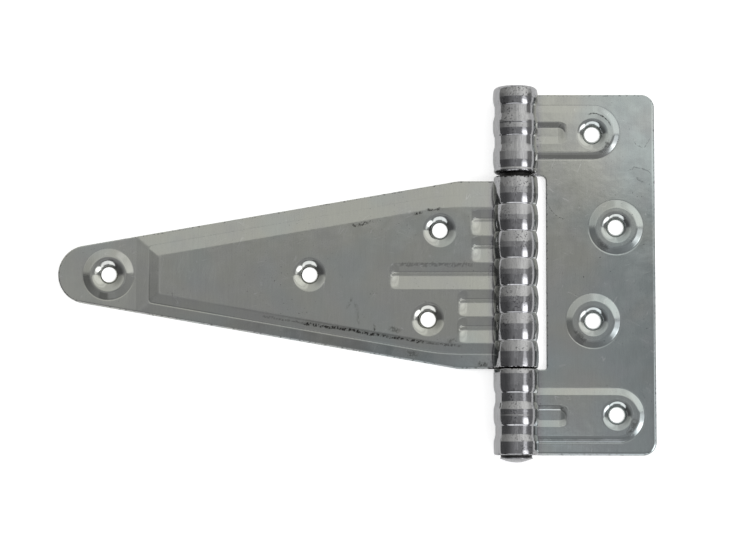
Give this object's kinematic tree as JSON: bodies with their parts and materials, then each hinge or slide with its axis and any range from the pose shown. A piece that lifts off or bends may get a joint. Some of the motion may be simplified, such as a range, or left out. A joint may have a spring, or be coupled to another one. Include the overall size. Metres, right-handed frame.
{
  "type": "tee hinge",
  "caption": "Tee hinge of pressed zinc-plated sheet steel: a tapering strap leaf and a rectangular butt leaf rolled into a corrugated barrel round a pin, with countersunk screw holes.",
  "frame": {"origin": "on the back plane, straight under the pin's axis, on the strap's centre line", "axes": "+X from the pin across the butt leaf, so the strap points along -X; +Y along the pin away from its head; +Z from the back plane out through the front of the leaves"},
  "size_m": [0.2654, 0.1654, 0.02],
  "materials": {
    "zinc_sheet": "zinc-plated steel sheet, semi-bright, with faint yellow and blue passivation tints and handling scratches",
    "zinc_pin": "zinc-plated steel rod, smooth and semi-bright"
  },
  "bodies": {
    "butt": {"butt_leaf": "zinc_sheet", "hinge_pin": "zinc_pin"},
    "strap": {"strap_leaf": "zinc_sheet"}
  },
  "joints": [
    {"name": "strap_swing", "type": "hinge", "parent": "butt", "child": "strap", "pos_m": [0, 0, 0.01], "axis": [0, 1, 0], "range_deg": [-105, 192]}
  ]
}
